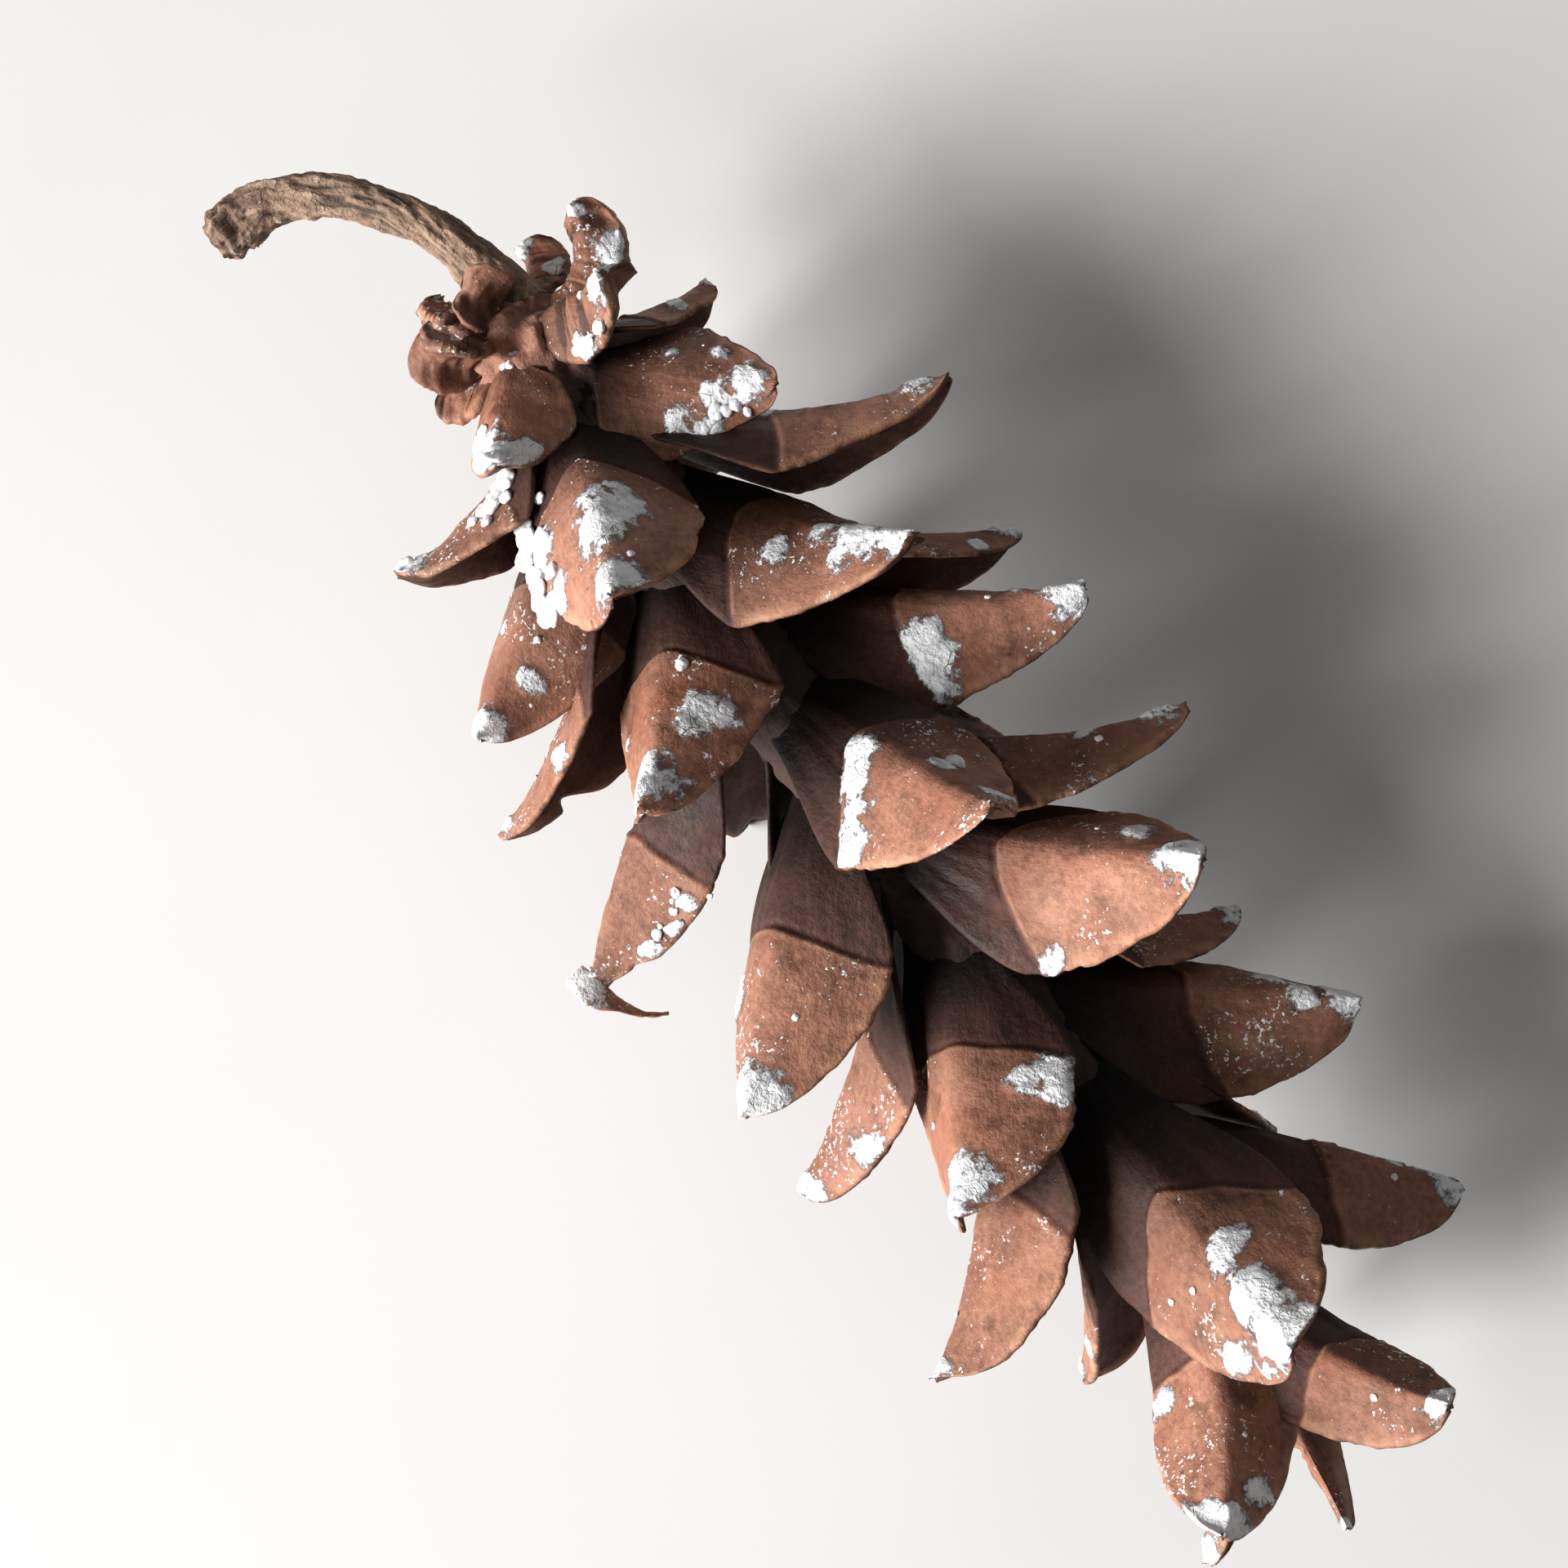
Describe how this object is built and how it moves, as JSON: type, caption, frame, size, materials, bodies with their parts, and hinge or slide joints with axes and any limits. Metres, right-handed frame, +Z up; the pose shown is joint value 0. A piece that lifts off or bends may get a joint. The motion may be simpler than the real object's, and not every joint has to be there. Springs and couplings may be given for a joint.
{
  "type": "pine cone",
  "caption": "Long open pine cone lying on its side: thin woody scales in a spiral around an axis, small curled scales at the base and a bent bark-covered stalk.",
  "frame": {"origin": "on the table, under the middle of the box around the cone and its stalk", "axes": "+X along the cone from the stalk to the tip, +Z up from the table, +Y to the left of someone looking along +X"},
  "size_m": [0.1576, 0.064, 0.0551],
  "materials": {
    "scale_wood": "matte brown scales with white resin",
    "bark": "rough grey-brown bark"
  },
  "bodies": {
    "root": {"cone": "scale_wood", "stalk": "bark"}
  },
  "joints": []
}
